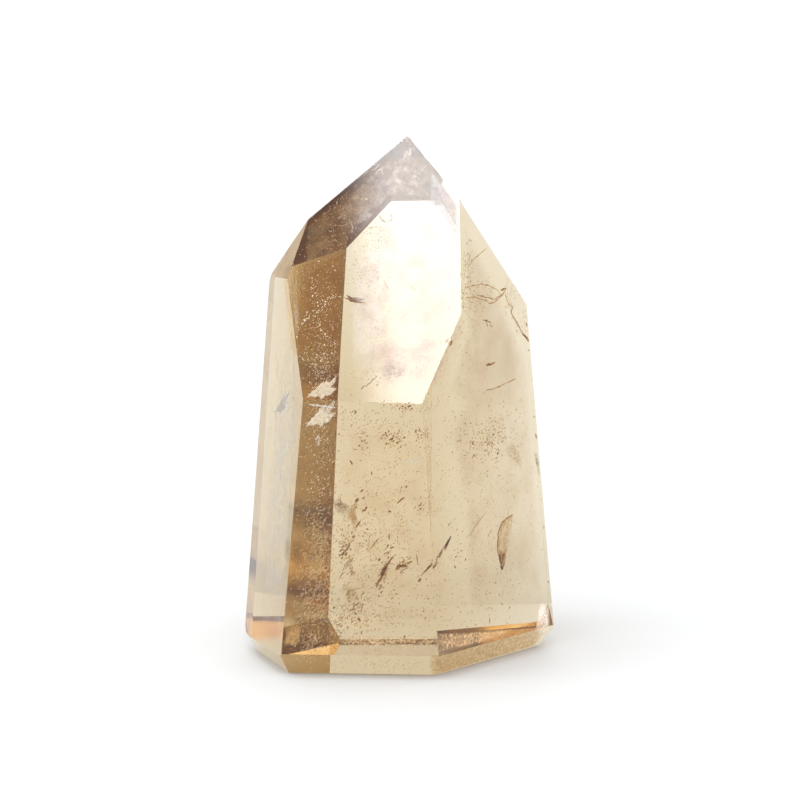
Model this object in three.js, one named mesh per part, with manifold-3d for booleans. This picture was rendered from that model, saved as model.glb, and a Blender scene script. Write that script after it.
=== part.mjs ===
// Citrine crystal point: one polished quartz crystal, cut from a single smoky
// yellow crystal so that it stands upright on a ground foot.
//
// Millimetres, +Z up. The origin is the middle of the foot, the broad front face
// looks along -Y, and +X is to its right.
//
// The crystal is made the way a cutter makes it: a rough block is ground flat on
// one face after another. A face is given by three numbers:
//   azimuth  the way it looks, in degrees from the front towards the right
//   lean     how far it looks up (+) or down (-), in degrees
//   reach    where it lies, measured as each list below says

import * as THREE from 'three';
import { mergeVertices } from 'three/addons/utils/BufferGeometryUtils.js';
import Module from 'manifold-3d';

// The seven side faces. They lean in by a few degrees, so the crystal tapers
// upwards. Reach is the distance from the axis at the level of the foot.
const SIDE_FACES = [
  { name: 'left edge', azimuth: -77.5, lean: 4, reach: 20.9 },
  { name: 'left', azimuth: -70.5, lean: 4, reach: 20.9 },
  { name: 'front', azimuth: -3.5, lean: -1.5, reach: 18.3 },
  { name: 'front right', azimuth: 48.5, lean: 2, reach: 16.7 },
  { name: 'right', azimuth: 112.5, lean: 5.5, reach: 19.7 },
  { name: 'back', azimuth: 182, lean: 2.5, reach: 17.1 },
  { name: 'back left', azimuth: -124, lean: 3.5, reach: 16.8 },
];

// The seven faces of the point. The broad front one is far larger than the rest,
// so the tip stands right of the middle. Reach is the height at which the face,
// carried on, would cross the axis.
const TIP_FACES = [
  { name: 'left edge', azimuth: -78, lean: 27.5, reach: 85.8 },
  { name: 'left', azimuth: -74.5, lean: 28, reach: 85.2 },
  { name: 'front', azimuth: -2.5, lean: 32, reach: 69.6 },
  { name: 'front right', azimuth: 50, lean: 22.5, reach: 85.4 },
  { name: 'right', azimuth: 110.5, lean: 31.5, reach: 73.6 },
  { name: 'back', azimuth: 182, lean: 27.5, reach: 84.7 },
  { name: 'back left', azimuth: -127.5, lean: 34.5, reach: 70.3 },
];

// The bevels ground around the foot, one under each side face. Reach is how far
// the bevel climbs the side face above it.
const FOOT_BEVELS = [
  { name: 'left edge', azimuth: -77.5, lean: -30, reach: 2.4 },
  { name: 'left', azimuth: -69, lean: -33.5, reach: 2.7 },
  { name: 'front', azimuth: -3.5, lean: -43, reach: 3.4 },
  { name: 'front right', azimuth: 48, lean: -35, reach: 3.3 },
  { name: 'right', azimuth: 113.5, lean: -34.5, reach: 2.5 },
  { name: 'back', azimuth: 183.5, lean: -27.5, reach: 3.3 },
  { name: 'back left', azimuth: -124.5, lean: -36.5, reach: 3.3 },
];

// A second, much smaller bevel takes the sharp rim off the back of the foot. It
// is set in from the back bevel, and its reach is its height above the foot.
const BACK_RIM = { azimuth: 183.5, lean: -65, reach: 0.4 };

// The rough block is larger than the crystal on every side but the foot.
const BLOCK_WIDTH = 80;
const BLOCK_HEIGHT = 90;

// The grinding lap is a slab far wider than the block.
const LAP_WIDTH = 300;
const LAP_THICKNESS = 100;

const wasm = await Module();
wasm.setup();

// A closed three.js geometry as a solid that can be cut.
function solidFrom(geometry) {
  const bare = geometry.clone();
  bare.deleteAttribute('normal');
  bare.deleteAttribute('uv');
  const merged = mergeVertices(bare);
  const mesh = new wasm.Mesh({
    numProp: 3,
    vertProperties: new Float32Array(merged.attributes.position.array),
    triVerts: new Uint32Array(merged.index.array),
  });
  return new wasm.Manifold(mesh);
}

// A solid as a flat-shaded three.js geometry.
function geometryFrom(solid) {
  const mesh = solid.getMesh();
  const indexed = new THREE.BufferGeometry();
  indexed.setAttribute('position', new THREE.BufferAttribute(mesh.vertProperties, 3));
  indexed.setIndex(new THREE.BufferAttribute(mesh.triVerts, 1));
  const geometry = indexed.toNonIndexed();
  geometry.computeVertexNormals();
  return geometry;
}

// The level direction in which a face of this azimuth looks.
function outward(azimuth) {
  const angle = THREE.MathUtils.degToRad(azimuth);
  return new THREE.Vector3(Math.sin(angle), -Math.cos(angle), 0);
}

// The plane of a face through a point, from its azimuth and lean.
function planeThrough(point, { azimuth, lean }) {
  const angle = THREE.MathUtils.degToRad(lean);
  const normal = outward(azimuth).multiplyScalar(Math.cos(angle));
  normal.z = Math.sin(angle);
  return new THREE.Plane().setFromNormalAndCoplanarPoint(normal, point);
}

// The point at a given height where a plane is met when walking out from the
// axis along an azimuth.
function pointOnPlane(plane, azimuth, height) {
  const along = outward(azimuth);
  const fromAxis = -(plane.constant + plane.normal.z * height) / plane.normal.dot(along);
  return along.multiplyScalar(fromAxis).setZ(height);
}

// Grinds away everything beyond a plane: a slab whose face lies on the plane is
// taken off the solid.
function grind(solid, plane) {
  const turn = new THREE.Quaternion().setFromUnitVectors(new THREE.Vector3(0, 0, 1), plane.normal);
  const centre = plane.normal.clone().multiplyScalar(LAP_THICKNESS / 2 - plane.constant);
  const lap = new THREE.BoxGeometry(LAP_WIDTH, LAP_WIDTH, LAP_THICKNESS);
  lap.applyMatrix4(new THREE.Matrix4().compose(centre, turn, new THREE.Vector3(1, 1, 1)));
  return solid.subtract(solidFrom(lap));
}

function roughBlock() {
  const block = new THREE.BoxGeometry(BLOCK_WIDTH, BLOCK_WIDTH, BLOCK_HEIGHT);
  block.translate(0, 0, BLOCK_HEIGHT / 2);
  return solidFrom(block);
}

function crystalGeometry() {
  const sides = SIDE_FACES.map((face) =>
    planeThrough(outward(face.azimuth).multiplyScalar(face.reach), face));
  const tips = TIP_FACES.map((face) => planeThrough(new THREE.Vector3(0, 0, face.reach), face));
  const bevels = FOOT_BEVELS.map((face, i) =>
    planeThrough(pointOnPlane(sides[i], face.azimuth, face.reach), face));

  const backBevel = bevels[FOOT_BEVELS.findIndex((face) => face.name === 'back')];
  const backRim = planeThrough(pointOnPlane(backBevel, BACK_RIM.azimuth, BACK_RIM.reach), BACK_RIM);

  const cut = [...sides, ...tips, ...bevels, backRim].reduce(grind, roughBlock());
  return geometryFrom(cut);
}

const citrine = new THREE.MeshStandardMaterial({
  name: 'citrine',
  color: 0xd7c19f,
  roughness: 0.03,
  metalness: 0,
  transparent: true,
  opacity: 0.6,
});

const crystalPoint = new THREE.Mesh(crystalGeometry(), citrine);
crystalPoint.name = 'crystal_point';

const part = new THREE.Group();
part.add(crystalPoint);

export default part;
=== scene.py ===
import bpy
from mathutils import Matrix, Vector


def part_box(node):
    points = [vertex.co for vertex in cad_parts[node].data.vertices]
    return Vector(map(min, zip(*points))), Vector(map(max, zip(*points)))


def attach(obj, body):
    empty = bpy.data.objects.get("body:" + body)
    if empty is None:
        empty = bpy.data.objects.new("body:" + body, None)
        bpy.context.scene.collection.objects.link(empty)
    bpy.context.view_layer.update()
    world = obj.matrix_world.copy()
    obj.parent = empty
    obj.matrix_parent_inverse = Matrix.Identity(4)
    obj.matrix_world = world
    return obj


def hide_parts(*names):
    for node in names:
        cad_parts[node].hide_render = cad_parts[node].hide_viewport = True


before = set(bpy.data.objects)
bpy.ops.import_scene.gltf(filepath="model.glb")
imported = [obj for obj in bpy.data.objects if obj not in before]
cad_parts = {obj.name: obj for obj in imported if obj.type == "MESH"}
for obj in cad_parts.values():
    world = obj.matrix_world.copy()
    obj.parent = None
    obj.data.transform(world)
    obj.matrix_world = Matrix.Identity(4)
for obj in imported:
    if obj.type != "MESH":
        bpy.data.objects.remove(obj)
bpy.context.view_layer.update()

import math

import bmesh
import bpy
import numpy as np

# ---------------------------------------------------------------------------
# The crystal: one smoky yellow quartz, grown whole, then sawn and ground flat
# on every side and polished. Its edges are left crisp, with the hair-fine
# round that the polishing wheel gives them.

EDGE_ROUND = 0.00010
WELD = 0.000002
FLAT_WITHIN = math.radians(0.4)
QUARTZ_IOR = 1.548
TINT_DENSITY = 31.0
TINT_PASSED = (0.66, 0.458, 0.016)
WORN_SIDE = (-0.83, 0.56, 0.06)
WORN_WITHIN = 0.98
WORN_HEIGHT = 0.000020
WORN_GRAINS = 2600.0
FOOT_WORN = 0.4
GROUND_BELOW = -0.9
GROUND_ROUGH = 0.10
POLISH_HEIGHT = 0.000002
POLISH_GRAINS = 160.0

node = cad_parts["crystal_point"]
low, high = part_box("crystal_point")


def placed(name, mesh):
    """A new object of the mesh, linked into the scene, at the origin."""
    piece = bpy.data.objects.new(name, mesh)
    bpy.context.scene.collection.objects.link(piece)
    return piece


def cut_crystal(source):
    """The CAD solid's own faces, with its corners welded and the triangles of each flat face joined. It
    marks the faces of the worn side and the foot as "worn", and the foot as "ground"."""
    mesh = source.data.copy()
    mesh.name = "crystal"
    mesh.materials.clear()
    work = bmesh.new()
    work.from_mesh(mesh)
    bmesh.ops.remove_doubles(work, verts=work.verts, dist=WELD)
    bmesh.ops.dissolve_limit(work, angle_limit=FLAT_WITHIN, verts=work.verts, edges=work.edges)
    for face in work.faces:
        face.smooth = False
    work.to_mesh(mesh)
    work.free()
    normals = np.empty(len(mesh.polygons) * 3)
    mesh.polygons.foreach_get("normal", normals)
    normals = normals.reshape(-1, 3)
    facing_worn = normals @ np.array(WORN_SIDE) > WORN_WITHIN
    below = normals[:, 2] < GROUND_BELOW
    worn = mesh.attributes.new("worn", "FLOAT", "FACE")
    worn.data.foreach_set("value", facing_worn + FOOT_WORN * below)
    ground = mesh.attributes.new("ground", "FLOAT", "FACE")
    ground.data.foreach_set("value", below.astype(float))
    if "custom_normal" in mesh.attributes:
        mesh.attributes.remove(mesh.attributes["custom_normal"])
    crystal = placed("crystal", mesh)
    edges = crystal.modifiers.new("edge_round", "BEVEL")
    edges.width = EDGE_ROUND
    edges.segments = 2
    edges.limit_method = "ANGLE"
    edges.angle_limit = math.radians(4)
    return crystal


def citrine():
    """Clear quartz whose tint builds up with the way light travels in it. The polishing wheel left a slow
    swell all over, the worn side has a fine grain of pits, and the ground foot is a little matt."""
    material = bpy.data.materials.new("citrine")
    material.use_nodes = True
    nodes, links = material.node_tree.nodes, material.node_tree.links
    surface = nodes["Principled BSDF"]
    surface.inputs["Base Color"].default_value = (1.0, 1.0, 1.0, 1.0)
    surface.inputs["Roughness"].default_value = 0.0
    surface.inputs["IOR"].default_value = QUARTZ_IOR
    surface.inputs["Transmission Weight"].default_value = 1.0
    place = nodes.new("ShaderNodeTexCoord")
    worn = nodes.new("ShaderNodeAttribute")
    worn.attribute_name = "worn"
    heights = []
    for grain, height in ((WORN_GRAINS, WORN_HEIGHT), (POLISH_GRAINS, POLISH_HEIGHT)):
        noise = nodes.new("ShaderNodeTexNoise")
        noise.inputs["Scale"].default_value = grain
        noise.inputs["Detail"].default_value = 3.0
        links.new(place.outputs["Object"], noise.inputs["Vector"])
        scaled = nodes.new("ShaderNodeMath")
        scaled.operation = "MULTIPLY"
        scaled.inputs[1].default_value = height
        links.new(noise.outputs["Fac"], scaled.inputs[0])
        heights.append(scaled)
    relief = nodes.new("ShaderNodeMath")
    relief.operation = "MULTIPLY_ADD"
    links.new(heights[0].outputs[0], relief.inputs[0])
    links.new(worn.outputs["Fac"], relief.inputs[1])
    links.new(heights[1].outputs[0], relief.inputs[2])
    ground = nodes.new("ShaderNodeAttribute")
    ground.attribute_name = "ground"
    matt = nodes.new("ShaderNodeMath")
    matt.operation = "MULTIPLY"
    matt.inputs[1].default_value = GROUND_ROUGH
    links.new(ground.outputs["Fac"], matt.inputs[0])
    links.new(matt.outputs[0], surface.inputs["Roughness"])
    bump = nodes.new("ShaderNodeBump")
    bump.inputs["Strength"].default_value = 1.0
    bump.inputs["Distance"].default_value = 1.0
    links.new(relief.outputs[0], bump.inputs["Height"])
    links.new(bump.outputs["Normal"], surface.inputs["Normal"])
    tint = nodes.new("ShaderNodeVolumeAbsorption")
    tint.inputs["Color"].default_value = (*TINT_PASSED, 1.0)
    tint.inputs["Density"].default_value = TINT_DENSITY
    links.new(tint.outputs["Volume"], nodes["Material Output"].inputs["Volume"])
    return material


crystal = cut_crystal(node)
crystal.data.materials.append(citrine())
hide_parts("crystal_point")
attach(crystal, "root")

# ---------------------------------------------------------------------------
# The white flake: one air-filled crack deep in the left half, a slanting flake with a ragged rim and one
# long splinter. Its brightness is painted light: it gives off light, most where it is seen at a slant, in
# place of the light its air film mirrors back. So it shows white through the tip face and again, lower,
# through the front.

FLAKE_CENTRE = (0.258, 0.474, 0.485)
FLAKE_LEAN = (-0.51, -0.386)
FLAKE_HALF_THICK = 0.00004
# Strength of the flake's painted reflection: the light it gives off when seen at a slant.
FLAKE_PAINTED_GLOW = 0.75
AIR_IN_QUARTZ = 0.60
FLAKE_RIM_MM = (
    (-1.9, -1.75), (-1.88, -1.2), (-1.55, -1.0), (-1.3, -0.45), (-1.0, -0.35), (-0.75, 0.15), (-0.45, 0.5),
    (-0.2, 0.95), (0.05, 1.1), (0.13, 1.5), (0.33, 1.2), (0.55, 1.85), (0.75, 1.4), (1.0, 1.45), (1.3, 1.85),
    (1.8, 2.6), (1.85, 2.0), (1.5, 1.2), (1.1, 0.6), (1.55, 0.65), (1.95, 0.55), (1.7, 0.1), (1.4, -0.1),
    (1.3, -0.45), (1.0, -0.85), (0.7, -1.0), (0.4, -1.05), (0.15, -1.5), (-0.2, -1.9), (-0.22, -1.4),
    (-0.65, -1.35), (-0.95, -1.6), (-1.55, -1.55),
)
FLAKE_RAGGED = 0.06
FLAKE_SEED = 3
RIM_STEPS = 160
RIM_RINGS = 6
INCLUSION_IOR = 1.2


def round_rim(corners, ragged, seed):
    """The middle of the closed outline through the corners, and the outline itself at even steps, turning
    left, with each step moved in or out by a seeded share of its reach, at most the ragged one."""
    following = np.roll(corners, -1, axis=0)
    if (corners[:, 0] * following[:, 1] - following[:, 0] * corners[:, 1]).sum() < 0:
        corners = corners[::-1]
    closed = np.vstack([corners, corners[:1]])
    run = np.concatenate([[0.0], np.cumsum(np.linalg.norm(np.diff(closed, axis=0), axis=1))])
    at = np.linspace(0.0, run[-1], RIM_STEPS, endpoint=False)
    rim = np.stack([np.interp(at, run, closed[:, axis]) for axis in (0, 1)], axis=-1)
    middle = rim.mean(axis=0)
    uneven = 1.0 + ragged * np.random.default_rng(seed).uniform(-1.0, 1.0, RIM_STEPS)
    return middle, middle + (rim - middle) * uneven[:, None]


def lens(name, corners, place, half_thick, ragged, seed):
    """A closed flake between two skins. A point is place(middle + s * (rim(t) - middle)) for s from 0 to 1
    and t once round the rim, moved to and fro by half_thick * (1 - s^2). It keeps s as "edge"."""
    middle, rim = round_rim(np.array(corners), ragged, seed)
    s = (np.arange(1, RIM_RINGS + 1) / RIM_RINGS)[:, None, None]
    flat = place((middle + s * (rim - middle)).reshape(-1, 2))
    centre = place(middle[None, :])
    swell = np.zeros((RIM_RINGS, RIM_STEPS, 3))
    swell[..., 1] = half_thick * (1.0 - s[..., 0] ** 2)
    swell = swell.reshape(-1, 3)
    push = np.array([[0.0, half_thick, 0.0]])
    inner = (RIM_RINGS - 1) * RIM_STEPS
    points = np.vstack([flat - swell, (flat + swell)[:inner], centre - push, centre + push])
    step = np.arange(RIM_STEPS)
    after = (step + 1) % RIM_STEPS
    ring = np.arange(RIM_RINGS - 1)[:, None] * RIM_STEPS
    near = np.stack([ring + step, ring + RIM_STEPS + step, ring + RIM_STEPS + after, ring + after], axis=-1)
    far = near[..., ::-1] + RIM_RINGS * RIM_STEPS
    far[-1, :, 1] = inner + after
    far[-1, :, 2] = inner + step
    front_cap = np.stack([np.full(RIM_STEPS, len(points) - 2), step, after], axis=-1)
    back_cap = np.stack([np.full(RIM_STEPS, len(points) - 1), after, step], axis=-1)
    back_cap[:, 1:] += RIM_RINGS * RIM_STEPS
    mesh = bpy.data.meshes.new(name)
    quads = np.concatenate([near.reshape(-1, 4), far.reshape(-1, 4)])
    mesh.from_pydata(points.tolist(), [], quads.tolist() + front_cap.tolist() + back_cap.tolist())
    share = np.repeat(s[:, 0, 0], RIM_STEPS)
    edge = mesh.attributes.new("edge", "FLOAT", "POINT")
    edge.data.foreach_set("value", np.concatenate([share, share[:inner], [0.0, 0.0]]))
    mesh.shade_smooth()
    return placed(name, mesh)


def painted_glow(material, paint, strength):
    """Makes the inclusion give off painted light of the given strength, in the material's own colour, in
    place of the light it would throw back.
    """
    surface = material.node_tree.nodes["Principled BSDF"]
    if strength:
        material.node_tree.links.new(paint.outputs["Color"], surface.inputs["Emission Color"])
        surface.inputs["Emission Strength"].default_value = strength
    return material


def painted_reflection_aslant(material, strength, air_in_quartz):
    """Painted reflection. A Fresnel of air in quartz drives the emission, so the flake gives off light up to
    the strength where it is seen at a slant and hardly any head on. This stands in for the light that a film
    of air in quartz mirrors.
    """
    nodes, links = material.node_tree.nodes, material.node_tree.links
    mirror = nodes.new("ShaderNodeFresnel")
    mirror.inputs["IOR"].default_value = air_in_quartz
    bright = nodes.new("ShaderNodeMapRange")
    bright.inputs["To Max"].default_value = strength
    links.new(mirror.outputs[0], bright.inputs["Value"])
    links.new(bright.outputs[0], nodes["Principled BSDF"].inputs["Emission Strength"])
    return material


def blotches(nodes, links, grain, band):
    """Noise of the given grains to the metre, stretched so that the band runs from 0 to 1."""
    place = nodes.new("ShaderNodeTexCoord")
    noise = nodes.new("ShaderNodeTexNoise")
    noise.inputs["Scale"].default_value = grain
    noise.inputs["Detail"].default_value = 5.0
    links.new(place.outputs["Object"], noise.inputs["Vector"])
    level = nodes.new("ShaderNodeMapRange")
    level.inputs["From Min"].default_value = band[0]
    level.inputs["From Max"].default_value = band[1]
    links.new(noise.outputs["Fac"], level.inputs["Value"])
    return level


def two_tones(nodes, links, level, tones):
    """A colour that runs from the first tone to the second with the level."""
    ramp = nodes.new("ShaderNodeValToRGB")
    ramp.color_ramp.elements[0].color = (*tones[0], 1.0)
    ramp.color_ramp.elements[1].color = (*tones[1], 1.0)
    links.new(level.outputs[0], ramp.inputs["Fac"])
    return ramp


def towards_rim(nodes, links, rim):
    """A value that goes from the rim's third number to its fourth as "edge" goes from its first to its
    second."""
    edge = nodes.new("ShaderNodeAttribute")
    edge.attribute_name = "edge"
    fade = nodes.new("ShaderNodeMapRange")
    fade.interpolation_type = "SMOOTHSTEP"
    for socket, value in zip(("From Min", "From Max", "To Min", "To Max"), rim):
        fade.inputs[socket].default_value = value
    links.new(edge.outputs["Fac"], fade.inputs["Value"])
    return fade


def inclusion(name, colours, cover, grain, band=(0.4, 0.6), rough=0.5, glow=0.0, rim=None):
    """Pale matter of two colours and two strengths of cover, mixed by blotches of the given grain. The rim,
    if any, scales the cover towards the edge of a flake. The glow, if any, is painted light that the matter
    gives off in its own colour."""
    material = bpy.data.materials.new(name)
    material.use_nodes = True
    nodes, links = material.node_tree.nodes, material.node_tree.links
    surface = nodes["Principled BSDF"]
    surface.inputs["Roughness"].default_value = rough
    surface.inputs["IOR"].default_value = INCLUSION_IOR
    level = blotches(nodes, links, grain, band)
    paint = two_tones(nodes, links, level, colours)
    links.new(paint.outputs["Color"], surface.inputs["Base Color"])
    dense = nodes.new("ShaderNodeMapRange")
    dense.inputs["To Min"].default_value = cover[0]
    dense.inputs["To Max"].default_value = cover[1]
    links.new(level.outputs[0], dense.inputs["Value"])
    if rim is None:
        links.new(dense.outputs[0], surface.inputs["Alpha"])
        return painted_glow(material, paint, glow)
    product = nodes.new("ShaderNodeMath")
    product.operation = "MULTIPLY"
    links.new(dense.outputs[0], product.inputs[0])
    links.new(towards_rim(nodes, links, rim).outputs[0], product.inputs[1])
    links.new(product.outputs[0], surface.inputs["Alpha"])
    return painted_glow(material, paint, glow)


def flake_plane(across_up):
    """The points the given metres across and up from the flake's middle, on its slanting plane."""
    middle = np.array([low[axis] + FLAKE_CENTRE[axis] * (high[axis] - low[axis]) for axis in range(3)])
    deep = across_up @ np.array(FLAKE_LEAN)
    return middle + np.stack([across_up[:, 0], deep, across_up[:, 1]], axis=-1)


flake_rim = np.array(FLAKE_RIM_MM) / 1000
flake = lens("white_flake", flake_rim, flake_plane, FLAKE_HALF_THICK, FLAKE_RAGGED, FLAKE_SEED)
# The flake is white matter that also gives off painted light. Below, a Fresnel turns this into a painted
# reflection.
crack_white_painted_glow = inclusion("white_crack", ((0.94, 0.96, 1.0), (0.66, 0.60, 0.54)), (0.8, 1.0), 3200, glow=1.0)
flake.data.materials.append(painted_reflection_aslant(crack_white_painted_glow, FLAKE_PAINTED_GLOW, AIR_IN_QUARTZ))
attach(flake, "root")

# ---------------------------------------------------------------------------
# The dark grains: short needles and thousands of fine grains of brown iron
# mineral that the crystal grew round, in clusters and strewn thinly all through.
# The needles stand where the eye meets them, the fine grains fall at random.

GRAIN_SIDES = 5
GRAIN_RINGS = (-0.65, 0.0, 0.65)
# Each needle: shares across and up, length and width in mm, turn in degrees.
BROWN_GRAINS = (
    (0.422, 0.264, 2.4, 0.13, 52), (0.370, 0.302, 1.3, 0.22, 57), (0.350, 0.286, 0.3, 0.20, 60),
    (0.355, 0.277, 0.5, 0.30, 50), (0.398, 0.293, 0.3, 0.20, 40), (0.469, 0.279, 1.0, 0.14, 90),
    (0.464, 0.260, 0.7, 0.15, 60), (0.477, 0.257, 0.7, 0.20, 20), (0.470, 0.229, 2.1, 0.18, 58),
    (0.452, 0.210, 1.9, 0.42, 66), (0.437, 0.191, 1.8, 0.25, 56), (0.443, 0.181, 0.6, 0.16, 65),
    (0.498, 0.219, 0.9, 0.45, 62), (0.512, 0.221, 1.1, 0.42, 0), (0.533, 0.228, 1.0, 0.22, 28),
    (0.315, 0.250, 0.7, 0.20, 35), (0.322, 0.244, 0.8, 0.22, 60), (0.333, 0.251, 0.7, 0.20, 45),
    (0.330, 0.243, 0.6, 0.18, 30), (0.340, 0.259, 0.8, 0.16, 58), (0.312, 0.241, 0.5, 0.16, 20),
    (0.334, 0.224, 1.9, 0.10, 55), (0.340, 0.223, 1.9, 0.10, 55), (0.317, 0.202, 1.0, 0.10, 52),
    (0.384, 0.165, 0.8, 0.13, 45), (0.360, 0.141, 1.8, 0.08, 48), (0.353, 0.134, 0.3, 0.18, 0),
    (0.382, 0.138, 1.5, 0.11, 76), (0.372, 0.114, 0.6, 0.24, -55), (0.361, 0.126, 0.5, 0.18, -50),
    (0.556, 0.236, 1.5, 0.12, -83), (0.566, 0.194, 0.7, 0.30, 60), (0.592, 0.215, 3.1, 0.12, 44),
    (0.620, 0.240, 1.4, 0.20, 52), (0.640, 0.256, 2.0, 0.36, 58), (0.646, 0.294, 0.7, 0.15, 37),
    (0.671, 0.280, 0.2, 0.16, 0), (0.733, 0.279, 4.0, 0.05, 54), (0.778, 0.256, 1.6, 0.07, 50),
    (0.699, 0.217, 0.3, 0.22, 30), (0.665, 0.209, 0.5, 0.20, -60), (0.797, 0.156, 0.3, 0.18, 50),
    (0.778, 0.085, 0.8, 0.13, 85), (0.843, 0.099, 0.3, 0.18, 0), (0.817, 0.111, 0.3, 0.18, 0),
    (0.523, 0.377, 0.4, 0.24, 60), (0.508, 0.376, 0.3, 0.16, 70), (0.505, 0.369, 1.1, 0.07, 78),
    (0.505, 0.350, 1.5, 0.20, 42), (0.382, 0.368, 0.6, 0.22, 40), (0.366, 0.349, 0.8, 0.34, 50),
    (0.385, 0.353, 0.3, 0.20, 0), (0.395, 0.334, 0.5, 0.24, 60), (0.388, 0.329, 0.6, 0.24, 10),
    (0.469, 0.328, 0.4, 0.20, 40), (0.569, 0.334, 0.5, 0.14, 45), (0.565, 0.340, 0.4, 0.12, 20),
    (0.362, 0.521, 0.6, 0.20, 65), (0.382, 0.465, 0.3, 0.20, 50), (0.398, 0.462, 0.2, 0.14, 0),
    (0.374, 0.456, 0.3, 0.18, 0), (0.309, 0.478, 0.3, 0.20, 90), (0.413, 0.403, 0.6, 0.15, 88),
    (0.347, 0.423, 0.8, 0.18, -62), (0.377, 0.427, 0.2, 0.16, 0), (0.477, 0.470, 0.5, 0.26, 30),
    (0.496, 0.463, 0.5, 0.22, 60), (0.517, 0.473, 0.4, 0.20, 50), (0.461, 0.476, 0.5, 0.20, -60),
    (0.457, 0.481, 0.4, 0.20, -50), (0.460, 0.461, 0.4, 0.16, -70), (0.553, 0.487, 0.4, 0.20, 60),
    (0.568, 0.486, 0.3, 0.14, 60), (0.578, 0.480, 0.3, 0.16, -40), (0.511, 0.534, 0.4, 0.16, 0),
    (0.520, 0.531, 0.3, 0.22, 0), (0.530, 0.534, 0.4, 0.22, 0), (0.540, 0.530, 0.3, 0.18, 30),
    (0.592, 0.158, 0.3, 0.18, 0), (0.578, 0.133, 0.3, 0.18, 0), (0.517, 0.081, 0.6, 0.20, 65),
    (0.292, 0.137, 0.4, 0.22, 40), (0.437, 0.233, 0.5, 0.26, 60), (0.773, 0.581, 1.2, 0.15, 12),
    (0.722, 0.438, 0.5, 0.24, 80), (0.803, 0.406, 0.4, 0.30, 60), (0.761, 0.418, 0.3, 0.20, 0),
    (0.816, 0.426, 0.3, 0.16, 0), (0.725, 0.413, 1.0, 0.13, 45), (0.715, 0.478, 0.3, 0.18, 0),
    (0.765, 0.668, 0.5, 0.26, -30), (0.759, 0.669, 0.8, 0.12, -20), (0.774, 0.664, 0.9, 0.12, -25),
    (0.767, 0.661, 0.8, 0.12, -80), (0.780, 0.655, 0.8, 0.10, -35), (0.822, 0.713, 1.2, 0.26, 22),
    (0.338, 0.711, 1.3, 0.16, -25), (0.361, 0.707, 1.9, 0.30, -8), (0.384, 0.705, 1.2, 0.12, 0),
    (0.901, 0.641, 0.35, 0.16, 60), (0.905, 0.590, 0.35, 0.16, 60), (0.925, 0.458, 0.30, 0.16, 60),
    (0.938, 0.420, 0.90, 0.20, 105), (0.961, 0.237, 0.35, 0.16, 80), (0.979, 0.128, 0.35, 0.16, 80),
    (0.652, 0.642, 0.90, 0.30, 62), (0.385, 0.562, 0.90, 0.12, 50), (0.400, 0.566, 1.00, 0.12, 50),
    (0.412, 0.572, 1.10, 0.12, 52), (0.424, 0.578, 0.90, 0.12, 50), (0.430, 0.566, 0.60, 0.10, 48),
    (0.174, 0.537, 0.50, 0.18, 80), (0.172, 0.505, 0.50, 0.16, 80), (0.234, 0.061, 0.50, 0.20, 70),
    (0.525, 0.980, 0.40, 0.20, 0),
)
GRAIN_DEPTH = 0.0020
NEEDLE_SWELL = 1.3
NEEDLE_BOW = 0.06
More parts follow.
